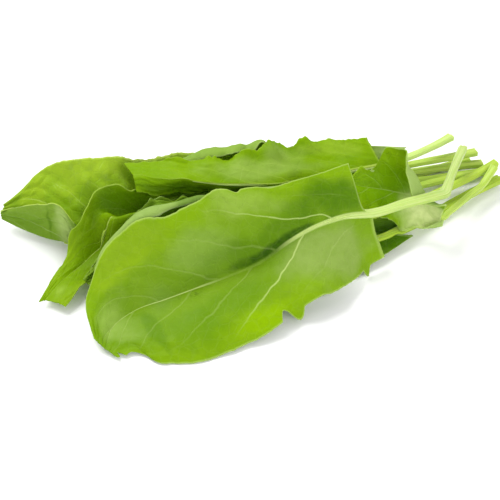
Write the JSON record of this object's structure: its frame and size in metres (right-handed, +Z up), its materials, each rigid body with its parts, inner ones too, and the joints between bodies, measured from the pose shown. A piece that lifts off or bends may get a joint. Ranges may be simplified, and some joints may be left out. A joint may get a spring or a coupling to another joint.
{
  "type": "sorrel bunch",
  "caption": "Loose bunch of fresh sorrel lying flat: broad folded green leaves on long pale stalks, cut ends gathered at one side.",
  "frame": {"origin": "centre of the bunch's footprint, on the surface it lies on", "axes": "+X from the leaf tips toward the cut stalk ends, +Y across the bunch away from the big top leaf, +Z up"},
  "size_m": [0.2792, 0.1681, 0.0534],
  "materials": {
    "under_blade": "fresh green leaf, slightly glossy",
    "bed_blade": "fresh green leaf, slightly glossy",
    "left_blade": "fresh green leaf, slightly glossy",
    "low_blade": "fresh green leaf, slightly glossy",
    "dark_blade": "fresh green leaf, slightly glossy",
    "back_blade": "fresh green leaf, slightly glossy",
    "upper_blade": "fresh green leaf, slightly glossy",
    "rolled_blade": "fresh green leaf, slightly glossy",
    "curled_blade": "fresh green leaf, slightly glossy",
    "front_blade": "fresh green leaf, slightly glossy",
    "stalk": "pale yellow-green stalk, slightly glossy"
  },
  "bodies": {
    "root": {"under_blade": "under_blade", "under_stalk": "stalk", "bed_blade": "bed_blade", "bed_stalk": "stalk", "left_blade": "left_blade", "left_stalk": "stalk", "low_blade": "low_blade", "low_stalk": "stalk", "dark_blade": "dark_blade", "dark_stalk": "stalk", "back_blade": "back_blade", "back_stalk": "stalk", "upper_blade": "upper_blade", "upper_stalk": "stalk", "rolled_blade": "rolled_blade", "rolled_stalk": "stalk", "curled_blade": "curled_blade", "curled_stalk": "stalk", "front_blade": "front_blade", "front_stalk": "stalk"}
  },
  "joints": []
}
